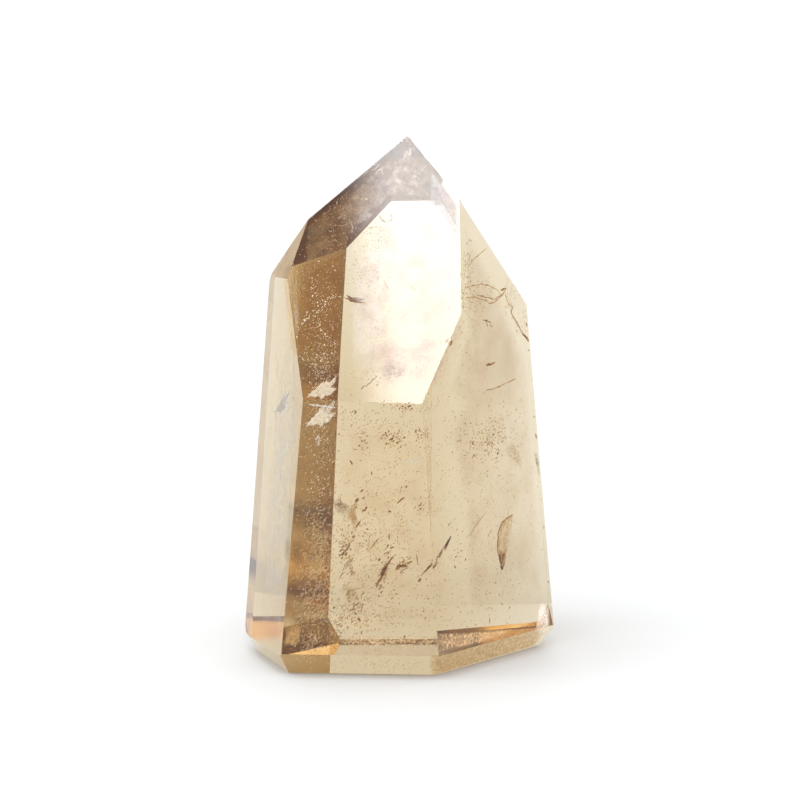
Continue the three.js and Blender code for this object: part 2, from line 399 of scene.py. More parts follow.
# Each scatter: middle across and up, spread across and up, count, width in mm, slenderness.
SCATTERS = (
    (0.485, 0.470, 0.022, 0.010, 55, 0.17, 1.0), (0.562, 0.474, 0.010, 0.010, 22, 0.16, 1.0),
    (0.382, 0.464, 0.010, 0.014, 22, 0.16, 1.0), (0.680, 0.462, 0.025, 0.030, 40, 0.16, 1.0),
    (0.770, 0.437, 0.038, 0.022, 190, 0.16, 1.0), (0.500, 0.531, 0.030, 0.004, 30, 0.15, 1.0),
    (0.351, 0.517, 0.010, 0.012, 10, 0.16, 1.0), (0.705, 0.740, 0.008, 0.030, 60, 0.15, 1.0),
    (0.700, 0.770, 0.006, 0.020, 30, 0.14, 1.0), (0.512, 0.227, 0.012, 0.009, 46, 0.16, 1.1),
    (0.436, 0.180, 0.006, 0.010, 18, 0.15, 1.3), (0.447, 0.200, 0.006, 0.010, 18, 0.15, 1.3),
    (0.456, 0.222, 0.006, 0.010, 18, 0.15, 1.3), (0.462, 0.244, 0.008, 0.010, 20, 0.15, 1.3),
    (0.329, 0.251, 0.010, 0.014, 48, 0.16, 1.2), (0.344, 0.221, 0.008, 0.016, 24, 0.14, 1.6),
    (0.320, 0.280, 0.012, 0.030, 44, 0.13, 1.0), (0.392, 0.264, 0.014, 0.012, 20, 0.14, 1.3),
    (0.351, 0.131, 0.022, 0.020, 60, 0.14, 1.6), (0.310, 0.100, 0.012, 0.014, 40, 0.14, 1.2),
    (0.502, 0.325, 0.026, 0.030, 26, 0.12, 1.3), (0.566, 0.340, 0.014, 0.010, 16, 0.14, 1.2),
    (0.676, 0.232, 0.012, 0.008, 16, 0.16, 1.0), (0.480, 0.160, 0.010, 0.008, 14, 0.14, 1.2),
    (0.520, 0.300, 0.120, 0.120, 300, 0.11, 1.1), (0.400, 0.250, 0.060, 0.080, 240, 0.11, 1.6),
    (0.380, 0.200, 0.050, 0.070, 170, 0.065, 4.5), (0.450, 0.250, 0.060, 0.060, 130, 0.060, 5.0),
    (0.340, 0.120, 0.030, 0.030, 90, 0.060, 4.5), (0.480, 0.420, 0.080, 0.050, 120, 0.055, 4.0),
    (0.780, 0.440, 0.060, 0.040, 110, 0.060, 4.0), (0.740, 0.300, 0.060, 0.080, 80, 0.060, 4.5),
    (0.500, 0.120, 0.120, 0.025, 160, 0.12, 1.0), (0.780, 0.300, 0.080, 0.140, 320, 0.11, 1.1),
    (0.760, 0.150, 0.070, 0.040, 110, 0.12, 1.0), (0.740, 0.020, 0.060, 0.012, 140, 0.11, 1.0),
    (0.470, 0.030, 0.100, 0.012, 120, 0.11, 1.0), (0.740, 0.715, 0.040, 0.014, 120, 0.08, 2.2),
    (0.845, 0.690, 0.012, 0.016, 60, 0.08, 2.0), (0.880, 0.640, 0.016, 0.016, 60, 0.08, 2.0),
    (0.710, 0.660, 0.020, 0.060, 90, 0.09, 1.5), (0.500, 0.760, 0.080, 0.050, 110, 0.10, 1.0),
    (0.390, 0.770, 0.030, 0.030, 60, 0.11, 1.0), (0.560, 0.540, 0.060, 0.008, 40, 0.12, 1.0),
    (0.255, 0.250, 0.025, 0.110, 420, 0.10, 2.0), (0.235, 0.130, 0.030, 0.050, 260, 0.10, 2.0),
    (0.250, 0.460, 0.028, 0.050, 160, 0.10, 1.0), (0.250, 0.600, 0.028, 0.040, 140, 0.10, 1.0),
    (0.245, 0.660, 0.030, 0.070, 120, 0.09, 1.0), (0.440, 0.825, 0.024, 0.016, 90, 0.11, 1.0),
    (0.420, 0.740, 0.040, 0.060, 160, 0.10, 1.0), (0.550, 0.640, 0.090, 0.060, 200, 0.10, 1.0),
    (0.480, 0.585, 0.060, 0.008, 80, 0.11, 1.2), (0.345, 0.500, 0.040, 0.020, 60, 0.10, 1.0),
    (0.430, 0.500, 0.080, 0.014, 90, 0.10, 1.4),
)
FINE_DEPTHS = (0.0007, 0.0040)
GRAIN_TURN = math.radians(52)
TURN_SPREAD = 0.55
GRAIN_SEED = 11
SKIN = 0.00025
TOWARDS_FRONT = -0.01

faces = crystal.data.polygons
face_normals = np.empty(len(faces) * 3)
face_centres = np.empty(len(faces) * 3)
faces.foreach_get("normal", face_normals)
faces.foreach_get("center", face_centres)
face_normals = face_normals.reshape(-1, 3)
face_offsets = (face_normals * face_centres.reshape(-1, 3)).sum(axis=1)
faces_front = face_normals[:, 1] < TOWARDS_FRONT


def under_skin(points):
    """The points, with each that lies too near a face, or past it, moved square to that face and inward."""
    for normal, offset in zip(face_normals, face_offsets):
        over = points @ normal - offset + SKIN
        points = points - np.maximum(over, 0.0)[..., None] * normal
    return points


def behind_front(u, w, depth):
    """The points at shares u across and w up of the crystal's box, a depth behind its front. Where several
    faces look to the front, the skin is the plane that lies furthest back."""
    x = low[0] + np.asarray(u) * (high[0] - low[0])
    z = low[2] + np.asarray(w) * (high[2] - low[2])
    normals = face_normals[faces_front]
    rest = face_offsets[faces_front][:, None] - normals[:, :1] * x - normals[:, 2:] * z
    return under_skin(np.stack([x, (rest / normals[:, 1:2]).max(axis=0) + depth, z], axis=-1))


def stain(name, tints, grain, band, rim=None):
    """Clear brown matter. What it lets through runs from the first tint to the second with blotches of the
    given grain. The rim, if any, scales the strength of the tint towards the edge of a flake."""
    material = bpy.data.materials.new(name)
    material.use_nodes = True
    nodes, links = material.node_tree.nodes, material.node_tree.links
    nodes.remove(nodes["Principled BSDF"])
    tint = two_tones(nodes, links, blotches(nodes, links, grain, band), tints)
    clear = nodes.new("ShaderNodeBsdfTransparent")
    links.new(clear.outputs[0], nodes["Material Output"].inputs["Surface"])
    if rim is None:
        links.new(tint.outputs["Color"], clear.inputs["Color"])
        return material
    blend = nodes.new("ShaderNodeMix")
    blend.data_type = "RGBA"
    blend.inputs["A"].default_value = (1.0, 1.0, 1.0, 1.0)
    links.new(towards_rim(nodes, links, rim).outputs[0], blend.inputs["Factor"])
    links.new(tint.outputs["Color"], blend.inputs["B"])
    links.new(blend.outputs["Result"], clear.inputs["Color"])
    return material


def grains(name, centres, length, width, turn, bow=0.0):
    """Closed grains, each a spindle. Along it a runs from -1 to 1, its rings have radius width / 2 times
    the root of 1 - a^2, and its middle is bowed up by bow * (length / 2) * (1 - a^2)."""
    count = len(centres)
    along = np.stack([np.cos(turn), np.zeros(count), np.sin(turn)], axis=-1)
    upward = np.stack([-np.sin(turn), np.zeros(count), np.cos(turn)], axis=-1)
    a = np.repeat(np.array(GRAIN_RINGS), GRAIN_SIDES)
    angle = np.tile(np.arange(GRAIN_SIDES) * 2 * math.pi / GRAIN_SIDES, len(GRAIN_RINGS))
    reach = np.sqrt(1 - a**2)
    a = np.concatenate([[-1.0], a, [1.0]])
    rise = np.concatenate([[0.0], reach * np.cos(angle), [0.0]])
    deep = np.concatenate([[0.0], reach * np.sin(angle), [0.0]])
    half_long, half_wide = length[:, None, None] / 2, width[:, None, None] / 2
    points = centres[:, None, :] + a[:, None] * half_long * along[:, None, :]
    lift = rise[:, None] * half_wide + bow * (1 - a[:, None] ** 2) * half_long
    points = points + lift * upward[:, None, :]
    points[..., 1] += deep * half_wide[..., 0]
    step = np.arange(GRAIN_SIDES)
    after = (step + 1) % GRAIN_SIDES
    last = len(a) - 1
    ends = np.stack([np.zeros_like(step), 1 + step, 1 + after], axis=-1)
    final_ring = last - GRAIN_SIDES
    tips = np.stack([np.full_like(step, last), final_ring + after, final_ring + step], axis=-1)
    ring = 1 + np.arange(len(GRAIN_RINGS) - 1)[:, None] * GRAIN_SIDES
    following = ring + GRAIN_SIDES
    sides = np.stack([ring + step, following + step, following + after, ring + after], axis=-1)
    shift = np.arange(count)[:, None, None] * len(a)
    triangles = (np.concatenate([ends, tips]) + shift).reshape(-1, 3)
    quads = (sides.reshape(-1, 4) + shift).reshape(-1, 4)
    mesh = bpy.data.meshes.new(name)
    mesh.from_pydata(points.reshape(-1, 3).tolist(), [], triangles.tolist() + quads.tolist())
    mesh.shade_smooth()
    return placed(name, mesh)


def strewn(scatters, depths, seed):
    """Seeded random places, lengths, widths and turns. Each scatter is a middle and a spread in shares, a
    count, a width in mm and how slender its grains are."""
    dice = np.random.default_rng(seed)
    places, lengths, widths, turns = [], [], [], []
    for u, w, across, up, count, size, slender in scatters:
        spot_u = u + across * dice.normal(size=count)
        spot_w = w + up * dice.normal(size=count)
        places.append(behind_front(spot_u, spot_w, dice.uniform(*depths, count)))
        lengths.append(size * slender * dice.uniform(0.8, 2.4, count) / 1000)
        widths.append(size * dice.uniform(0.6, 1.1, count) / 1000)
        turns.append(dice.normal(GRAIN_TURN, TURN_SPREAD, count))
    return [np.concatenate(part) for part in (places, lengths, widths, turns)]


listed = np.array(BROWN_GRAINS)
large = grains(
    "dark_needles",
    behind_front(listed[:, 0], listed[:, 1], GRAIN_DEPTH),
    listed[:, 2] / 1000,
    NEEDLE_SWELL * listed[:, 3] / 1000,
    np.radians(listed[:, 4]),
    bow=NEEDLE_BOW,
)
small = grains("fine_grains", *strewn(SCATTERS, FINE_DEPTHS, GRAIN_SEED))
needle_brown = stain("brown_needle", ((0.78, 0.60, 0.38), (0.54, 0.38, 0.20)), 2600, (0.35, 0.60))
grain_brown = stain("brown_grain", ((0.85, 0.72, 0.50), (0.58, 0.44, 0.25)), 900, (0.35, 0.65))
large.data.materials.append(needle_brown)
small.data.materials.append(grain_brown)
for piece in (large, small):
    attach(piece, "root")

# ---------------------------------------------------------------------------
# The light specks: tiny gas bubbles and clear chips on the left, strung along healed hairline cracks and
# strewn between them, and fine curled threads of pale mineral lower down. They show against the brown. The
# specks and threads also give off a little painted light, standing in for the light they catch.

TRAILS = (
    ((0.176, 0.666), (0.218, 0.686), (0.266, 0.705), (0.276, 0.717), (0.305, 0.722), (0.320, 0.717)),
    ((0.228, 0.674), (0.246, 0.670), (0.256, 0.660), (0.278, 0.645), (0.295, 0.633)),
    ((0.218, 0.751), (0.223, 0.737), (0.225, 0.715)),
    ((0.176, 0.619), (0.219, 0.608), (0.240, 0.601)),
)
TRAIL_GAP_MM = 0.19
TRAIL_WOBBLE_MM = 0.14
LONE_SPECKS = (
    (0.288, 0.771), (0.295, 0.764), (0.330, 0.776), (0.243, 0.779), (0.239, 0.709), (0.241, 0.703),
    (0.206, 0.692), (0.232, 0.685), (0.237, 0.692), (0.174, 0.650), (0.262, 0.637), (0.285, 0.623),
    (0.260, 0.622), (0.238, 0.620), (0.250, 0.610), (0.273, 0.608), (0.394, 0.886), (0.466, 0.844),
)
SPECK_DEPTH = 0.0011
SPECK_MM = 0.15
LIGHT_SCATTERS = (
    (0.240, 0.690, 0.050, 0.060, 360, 0.08, 1.0), (0.262, 0.590, 0.022, 0.025, 200, 0.08, 1.0),
    (0.250, 0.480, 0.028, 0.040, 180, 0.08, 1.0), (0.250, 0.380, 0.028, 0.040, 90, 0.08, 1.5),
    (0.230, 0.180, 0.040, 0.080, 120, 0.07, 1.0), (0.360, 0.880, 0.050, 0.030, 60, 0.06, 1.0),
    (0.310, 0.850, 0.030, 0.030, 60, 0.06, 1.0), (0.300, 0.820, 0.050, 0.035, 120, 0.08, 1.0),
    (0.540, 0.940, 0.020, 0.020, 24, 0.10, 1.3),
)
THREAD_SCATTERS = (
    (0.245, 0.250, 0.026, 0.050, 420, 0.055, 5.0), (0.235, 0.150, 0.032, 0.045, 460, 0.055, 5.0),
    (0.215, 0.070, 0.038, 0.012, 160, 0.055, 4.0), (0.250, 0.600, 0.028, 0.060, 160, 0.055, 4.0),
)
LIGHT_DEPTHS = (0.0006, 0.0030)
LONE_SWELL = 1.3
THREAD_BOW = 0.25
TRAIL_SEED = 23
LIGHT_SEED = 29
THREAD_SEED = 31


def along_trails(trails, gap, wobble, dice):
    """Places along each trail, a polyline in shares, about one gap apart and off it by a seeded wobble."""
    sides = np.array([high[0] - low[0], high[2] - low[2]])
    spots = []
    for trail in trails:
        corners = np.array(trail) * sides
        run = np.concatenate([[0.0], np.cumsum(np.linalg.norm(np.diff(corners, axis=0), axis=1))])
        at = np.arange(0.0, run[-1], gap)
        line = np.stack([np.interp(at, run, corners[:, axis]) for axis in (0, 1)], axis=-1)
        spots.append((line + dice.normal(0.0, wobble, line.shape)) / sides)
    return np.vstack(spots)


dice = np.random.default_rng(TRAIL_SEED)
spots = along_trails(TRAILS, TRAIL_GAP_MM / 1000, TRAIL_WOBBLE_MM / 1000, dice)
spots = np.vstack([spots, LONE_SPECKS])
lone = np.arange(len(spots)) >= len(spots) - len(LONE_SPECKS)
places = behind_front(spots[:, 0], spots[:, 1], SPECK_DEPTH)
sizes = np.where(lone, LONE_SWELL, dice.uniform(0.4, 1.1, len(spots))) * SPECK_MM / 1000
strung = (places, sizes * dice.uniform(1.0, 1.5, len(spots)), sizes, dice.uniform(0, math.pi, len(spots)))
loose = strewn(LIGHT_SCATTERS, LIGHT_DEPTHS, LIGHT_SEED)
light_specks = grains("light_specks", *(np.concatenate(pair) for pair in zip(strung, loose)))
# The pale specks give off painted light (glow 0.45) in their own colour.
light_specks.data.materials.append(
    inclusion("pale_speck", ((1.0, 0.96, 0.86), (0.86, 0.73, 0.52)), (0.6, 1.0), 1200, rough=0.3, glow=0.45)
)
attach(light_specks, "root")
pale_threads = grains("pale_threads", *strewn(THREAD_SCATTERS, LIGHT_DEPTHS, THREAD_SEED), bow=THREAD_BOW)
# The tan threads give off painted light (glow 0.35) in their own colour.
pale_threads.data.materials.append(
    inclusion("tan_thread", ((0.92, 0.76, 0.50), (0.72, 0.54, 0.30)), (0.6, 1.0), 1200, glow=0.35)
)
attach(pale_threads, "root")

# ---------------------------------------------------------------------------
# The healed cracks: threads of stain where the quartz broke and grew together
# again. Brown arcs and a jagged seam cross the right shoulder, dark ones rim the
# shell fracture and the tip, and grey and white ones lie on the left and above.

# Each seam: tone, depth behind the front, width in mm, course in shares across and up.
SEAMS = (
    (
        "brown", 0.0029, 0.19,
        ((0.69, 0.729), (0.713, 0.731), (0.75, 0.729), (0.774, 0.722), (0.799, 0.712), (0.812, 0.7)),
    ),
    (
        "brown", 0.0029, 0.22,
        ((0.7, 0.712), (0.726, 0.71), (0.755, 0.701), (0.782, 0.691), (0.807, 0.698), (0.832, 0.712)),
    ),
    ("brown", 0.0029, 0.2, ((0.73, 0.713), (0.762, 0.705), (0.79, 0.697), (0.815, 0.704))),
    (
        "brown", 0.0015, 0.26,
        (
            (0.83, 0.708), (0.836, 0.694), (0.842, 0.686), (0.854, 0.681), (0.846, 0.674), (0.862, 0.655),
            (0.887, 0.626), (0.909, 0.608),
        ),
    ),
    ("brown", 0.0014, 0.37, ((0.884, 0.628), (0.897, 0.617), (0.91, 0.607))),
    ("brown", 0.0027, 0.34, ((0.759, 0.584), (0.773, 0.58), (0.79, 0.583))),
    ("brown", 0.0027, 0.2, ((0.761, 0.532), (0.798, 0.533), (0.822, 0.536), (0.857, 0.54))),
    ("brown", 0.003, 0.15, ((0.7, 0.762), (0.718, 0.773), (0.762, 0.788))),
    ("brown", 0.0026, 0.12, ((0.703, 0.259), (0.735, 0.28), (0.764, 0.299))),
    ("dark", 0.0003, 0.26, ((0.215, 0.852), (0.33, 0.91), (0.42, 0.951), (0.52, 0.994))),
    (
        "dark", 0.0012, 0.2,
        (
            (0.857, 0.281), (0.838, 0.277), (0.82, 0.27), (0.809, 0.252), (0.807, 0.226), (0.813, 0.203),
            (0.824, 0.179),
        ),
    ),
    (
        "dark", 0.002, 0.2,
        ((0.649, 0.268), (0.638, 0.257), (0.615, 0.243), (0.603, 0.227), (0.59, 0.217), (0.578, 0.209)),
    ),
    ("dark", 0.002, 0.36, ((0.652, 0.271), (0.643, 0.262), (0.632, 0.253))),
    ("dark", 0.0012, 0.28, ((0.814, 0.212), (0.817, 0.194), (0.824, 0.179), (0.832, 0.196))),
    ("white", 0.0012, 0.1, ((0.85, 0.276), (0.848, 0.256), (0.84, 0.226), (0.832, 0.204))),
    ("white", 0.002, 0.14, ((0.509, 0.426), (0.535, 0.428), (0.566, 0.424))),
    ("white", 0.0015, 0.16, ((0.243, 0.477), (0.245, 0.466), (0.242, 0.456))),
    ("white", 0.0003, 0.2, ((0.212, 0.539), (0.255, 0.536), (0.297, 0.534))),
    ("white", 0.0006, 0.2, ((0.214, 0.538), (0.25, 0.535), (0.297, 0.532))),
    ("grey", 0.001, 0.1, ((0.105, 0.605), (0.118, 0.585), (0.112, 0.562), (0.13, 0.548), (0.124, 0.522))),
    ("grey", 0.001, 0.08, ((0.09, 0.5), (0.11, 0.485), (0.104, 0.462), (0.126, 0.45), (0.14, 0.43))),
    ("grey", 0.001, 0.08, ((0.12, 0.42), (0.132, 0.4), (0.122, 0.38), (0.14, 0.362), (0.15, 0.345))),
    ("dark", 0.0003, 0.11, ((0.622, 0.9), (0.655, 0.871), (0.688, 0.842))),
    (
        "grey", 0.0034, 0.22,
        ((0.435, 0.85), (0.443, 0.842), (0.458, 0.838), (0.474, 0.841), (0.478, 0.849), (0.468, 0.853)),
    ),
    ("grey", 0.0034, 0.1, ((0.394, 0.827), (0.42, 0.83), (0.445, 0.827), (0.483, 0.829))),
    ("grey", 0.0035, 0.1, ((0.45, 0.739), (0.456, 0.732), (0.466, 0.721))),
    ("grey", 0.0035, 0.08, ((0.655, 0.693), (0.662, 0.688))),
    ("white", 0.0034, 0.12, ((0.378, 0.862), (0.374, 0.858), (0.375, 0.852))),
    ("white", 0.0034, 0.14, ((0.482, 0.922), (0.494, 0.912), (0.508, 0.907), (0.522, 0.904))),
    ("white", 0.0034, 0.12, ((0.437, 0.934), (0.43, 0.926), (0.424, 0.919))),
    ("white", 0.0034, 0.12, ((0.447, 0.933), (0.444, 0.925), (0.449, 0.918))),
    ("white", 0.0034, 0.18, ((0.534, 0.967), (0.536, 0.96), (0.533, 0.952))),
    ("white", 0.002, 0.07, ((0.345, 0.846), (0.35, 0.835), (0.349, 0.822))),
    ("white", 0.002, 0.07, ((0.3, 0.848), (0.315, 0.853), (0.33, 0.861))),
)
SEAM_STATIONS = 40
SEAM_SIDES = 6
SEAM_WOBBLE = 0.00007
SEAM_FLAT = 0.5
SEAM_END = 0.0002
SEAM_UNEVEN = (0.55, 1.15)
SEAM_BAND = (0.35, 0.65)


def seams(name, courses, seed):
    """Closed threads. Each follows its course, a polyline in shares, at even stations with a wobble. Its
    section is an ellipse, whose radius is half the width times the fourth root of 1 - a^2, times a seeded
    share, with a from -1 to 1 along it."""
    dice = np.random.default_rng(seed)
    a = np.linspace(-1.0, 1.0, SEAM_STATIONS)
    angle = np.arange(SEAM_SIDES) * 2 * math.pi / SEAM_SIDES
    blocks = []
    for depth, width, course in courses:
        corners = np.array(course)
        run = np.concatenate([[0.0], np.cumsum(np.linalg.norm(np.diff(corners, axis=0), axis=1))])
        at = (a + 1) / 2 * run[-1]
        spot_u, spot_w = (np.interp(at, run, corners[:, axis]) for axis in (0, 1))
        middle = behind_front(spot_u, spot_w, depth)
        middle = middle + dice.normal(0.0, SEAM_WOBBLE, middle.shape) * (1 - a[:, None] ** 2)
        heading = np.gradient(middle, axis=0)
        heading = heading / np.linalg.norm(heading, axis=1)[:, None]
        side = np.cross(heading, (0.0, 1.0, 0.0))
        side = side / np.linalg.norm(side, axis=1)[:, None]
        inward = np.cross(side, heading)
        radius = width / 2000 * np.maximum(1 - a**2, SEAM_END) ** 0.25
        radius = radius * dice.uniform(*SEAM_UNEVEN, SEAM_STATIONS)
        over = np.cos(angle)[:, None] * side[:, None, :]
        under = SEAM_FLAT * np.sin(angle)[:, None] * inward[:, None, :]
        rings = middle[:, None, :] + radius[:, None, None] * (over + under)
        blocks.append(np.vstack([rings.reshape(-1, 3), middle[:1], middle[-1:]]))
    step = np.arange(SEAM_SIDES)
    after = (step + 1) % SEAM_SIDES
    ring = np.arange(SEAM_STATIONS - 1)[:, None] * SEAM_SIDES
    following = ring + SEAM_SIDES
    sides = np.stack([ring + step, ring + after, following + after, following + step], axis=-1)
    first = SEAM_STATIONS * SEAM_SIDES
    last = first - SEAM_SIDES
    starts = np.stack([np.full_like(step, first), after, step], axis=-1)
    stops = np.stack([np.full_like(step, first + 1), last + step, last + after], axis=-1)
    shift = np.arange(len(blocks))[:, None, None] * (first + 2)
    quads = (sides.reshape(-1, 4) + shift).reshape(-1, 4)
    caps = (np.concatenate([starts, stops]) + shift).reshape(-1, 3)
    mesh = bpy.data.meshes.new(name)
    mesh.from_pydata(np.vstack(blocks).tolist(), [], quads.tolist() + caps.tolist())
    mesh.shade_smooth()
    return placed(name, mesh)


seam_brown = stain("seam_brown", ((0.93, 0.82, 0.64), (0.66, 0.50, 0.32)), 1800, SEAM_BAND)
seam_dark = stain("seam_dark", ((0.62, 0.44, 0.27), (0.42, 0.27, 0.14)), 1800, SEAM_BAND)
seam_grey = stain("seam_grey", ((0.90, 0.84, 0.80), (0.55, 0.48, 0.43)), 1800, SEAM_BAND)
# The white seams give off a little painted light (glow 0.3) in their own colour.
seam_white = inclusion("seam_white", ((0.95, 0.93, 0.90), (0.85, 0.80, 0.76)), (0.25, 0.8), 1800, glow=0.3)
finishes = {"brown": seam_brown, "dark": seam_dark, "grey": seam_grey, "white": seam_white}
for tone, finish in finishes.items():
    name = tone + "_seams"
    piece = seams(name, [row[1:] for row in SEAMS if row[0] == tone], seed=len(name))
    piece.data.materials.append(finish)
    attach(piece, "root")

# ---------------------------------------------------------------------------
# The flakes and clouds: thin films of fluid and stain that lie between layers of growth. Stains are patches
# of brown, with the shell fracture low on the right, mists tint the light a little over wide areas, and
# feathers are pale. Some carry painted light: corner_shade is a painted shade. window_haze, band_margin,
# corner_glint, foot_glow, corner_honey and foot_line also give off painted light as glints and pale patches.

# Each stain and mist: name, rim in shares, depth, tints, grains to the metre, fade to the rim.
STAINS = (
    (
        "shell_fracture",
        (
            (0.857, 0.281), (0.838, 0.277), (0.82, 0.27), (0.809, 0.252), (0.807, 0.226), (0.813, 0.203),
            (0.824, 0.179), (0.834, 0.2), (0.842, 0.226), (0.851, 0.256),
        ),
        0.0013, ((0.95, 0.88, 0.76), (0.8, 0.68, 0.48)), 1500, (0.6, 1.0, 0.55, 1.0),
    ),
    (
        "shell_foot",
        ((0.811, 0.222), (0.826, 0.214), (0.84, 0.22), (0.833, 0.2), (0.824, 0.18), (0.814, 0.203)), 0.0012,
        ((0.84, 0.7, 0.5), (0.58, 0.44, 0.28)), 2500, (0.3, 1.0, 1.0, 0.2),
    ),
    (
        "grey_cloud",
        (
            (0.283, 0.352), (0.3, 0.35), (0.312, 0.362), (0.318, 0.349), (0.345, 0.34), (0.352, 0.326),
            (0.322, 0.318), (0.3, 0.322), (0.286, 0.336),
        ),
        0.002, ((0.88, 0.84, 0.8), (0.58, 0.55, 0.52)), 3200, (0.3, 1.0, 1.0, 0.1),
    ),
    (
        "tan_blot",
        (
            (0.33, 0.325), (0.345, 0.336), (0.362, 0.35), (0.372, 0.35), (0.364, 0.33), (0.366, 0.318),
            (0.374, 0.306), (0.362, 0.292), (0.352, 0.29), (0.345, 0.305), (0.33, 0.308),
        ),
        0.0021, ((0.86, 0.78, 0.66), (0.74, 0.62, 0.46)), 2000, (0.3, 1.0, 1.0, 0.1),
    ),
    (
        "dark_wedge",
        ((0.331, 0.713), (0.345, 0.708), (0.366, 0.709), (0.39, 0.705), (0.366, 0.702), (0.344, 0.703)),
        0.0034, ((0.6, 0.46, 0.36), (0.48, 0.34, 0.25)), 2000, (0.8, 1.0, 1.0, 0.6),
    ),
    (
        "smoke_right",
        ((0.815, 0.428), (0.85, 0.425), (0.88, 0.385), (0.885, 0.35), (0.86, 0.37), (0.825, 0.395)), 0.0026,
        ((1.0, 0.98, 0.96), (0.8, 0.74, 0.66)), 2500, (0.1, 1.0, 1.0, 0.0),
    ),
    (
        "smoke_left", ((0.305, 0.175), (0.33, 0.185), (0.372, 0.176), (0.37, 0.152), (0.33, 0.146)), 0.0024,
        ((1.0, 0.98, 0.96), (0.74, 0.64, 0.5)), 2200, (0.1, 1.0, 1.0, 0.0),
    ),
    (
        "smoke_middle",
        ((0.425, 0.185), (0.44, 0.215), (0.462, 0.24), (0.478, 0.238), (0.465, 0.205), (0.44, 0.178)),
        0.0022, ((1.0, 0.98, 0.94), (0.66, 0.56, 0.42)), 2600, (0.1, 1.0, 1.0, 0.0),
    ),
    (
        "smoke_grey",
        ((0.425, 0.592), (0.47, 0.596), (0.54, 0.588), (0.56, 0.58), (0.5, 0.572), (0.44, 0.574)), 0.0034,
        ((1.0, 0.98, 0.97), (0.66, 0.58, 0.55)), 1800, (0.3, 1.0, 1.0, 0.0),
    ),
    (
        "edge_bruise",
        ((0.926, 0.396), (0.936, 0.39), (0.945, 0.365), (0.951, 0.34), (0.944, 0.342), (0.932, 0.372)),
        0.0009, ((0.95, 0.94, 0.93), (0.5, 0.48, 0.46)), 2200, (0.3, 1.0, 1.0, 0.2),
    ),
    (
        "foot_stain",
        ((0.6, 0.05), (0.64, 0.05), (0.96, 0.062), (0.975, 0.05), (0.94, -0.004), (0.6, -0.004)), 0.0004,
        ((0.95, 0.89, 0.79), (0.8, 0.69, 0.52)), 2600, (0.85, 1.0, 1.0, 0.4),
    ),
)
MISTS = (
    (
        "front_mist",
        ((0.3, 0.52), (0.56, 0.535), (0.62, 0.4), (0.66, 0.1), (0.56, 0.065), (0.33, 0.065), (0.29, 0.2)),
        0.003, ((0.995, 0.99, 0.98), (0.955, 0.925, 0.885)), 260, (0.7, 1.0, 1.0, 0.0),
    ),
    (
        "right_mist",
        (
            (0.7, 0.78), (0.74, 0.775), (0.83, 0.68), (0.9, 0.56), (0.93, 0.3), (0.95, 0.08), (0.7, 0.07),
            (0.68, 0.3), (0.62, 0.48), (0.7, 0.64),
        ),
        0.0036, ((0.968, 0.952, 0.94), (0.93, 0.898, 0.86)), 240, (0.7, 1.0, 1.0, 0.0),
    ),
    (
        "tip_blush",
        (
            (0.36, 0.885), (0.4, 0.92), (0.53, 0.985), (0.6, 0.94), (0.68, 0.89), (0.64, 0.886),
            (0.45, 0.886), (0.4, 0.85),
        ),
        0.0016, ((1.0, 0.99, 0.98), (0.82, 0.71, 0.63)), 700, (0.8, 1.0, 1.0, 0.0),
    ),
    (
        "shoulder_mist",
        (
            (0.7, 0.85), (0.745, 0.8), (0.83, 0.69), (0.905, 0.57), (0.86, 0.48), (0.72, 0.5), (0.64, 0.54),
            (0.702, 0.66),
        ),
        0.0014, ((0.965, 0.955, 0.95), (0.935, 0.915, 0.9)), 300, (0.7, 1.0, 1.0, 0.0),
    ),
    (
        "band_honey",
        (
            (0.148, 0.742), (0.155, 0.768), (0.33, 0.792), (0.327, 0.756), (0.311, 0.671), (0.304, 0.612),
            (0.178, 0.612), (0.161, 0.654),
        ),
        0.003, ((0.99, 0.93, 0.8), (0.94, 0.84, 0.64)), 420, (0.85, 1.0, 1.0, 0.3),
    ),
    (
        "band_smoke", ((0.138, 0.275), (0.25, 0.285), (0.262, 0.235), (0.2, 0.18), (0.142, 0.185)), 0.003,
        ((0.95, 0.91, 0.84), (0.8, 0.73, 0.62)), 900, (0.3, 1.0, 1.0, 0.0),
    ),
    (
        "band_dusk", ((0.15, 0.35), (0.29, 0.35), (0.29, 0.225), (0.23, 0.2), (0.14, 0.22)), 0.0032,
        ((0.91, 0.92, 0.93), (0.8, 0.83, 0.84)), 700, (0.6, 1.0, 1.0, 0.0),
    ),
    (
        # corner_shade is painted shade: a grey film that darkens the right shoulder of the tip.
        "corner_shade",
        (
            (0.596, 0.905), (0.625, 0.93), (0.665, 0.9), (0.692, 0.872), (0.69, 0.845), (0.668, 0.862),
            (0.64, 0.881), (0.61, 0.878),
        ),
        0.0004, ((0.92, 0.87, 0.86), (0.84, 0.77, 0.76)), 900, (0.6, 1.0, 1.0, 0.0),
    ),
    (
        "window_foot", ((0.42, 0.625), (0.66, 0.65), (0.6, 0.562), (0.43, 0.545)), 0.0034,
        ((0.97, 0.92, 0.91), (0.89, 0.82, 0.81)), 420, (0.5, 1.0, 1.0, 0.0),
    ),
    (
        "window_blush",
        (
            (0.345, 0.78), (0.45, 0.86), (0.62, 0.86), (0.685, 0.8), (0.685, 0.64), (0.62, 0.56),
            (0.4, 0.56), (0.34, 0.6),
        ),
        0.0036, ((0.99, 0.98, 0.99), (0.88, 0.82, 0.81)), 400, (0.7, 1.0, 1.0, 0.0),
    ),
)
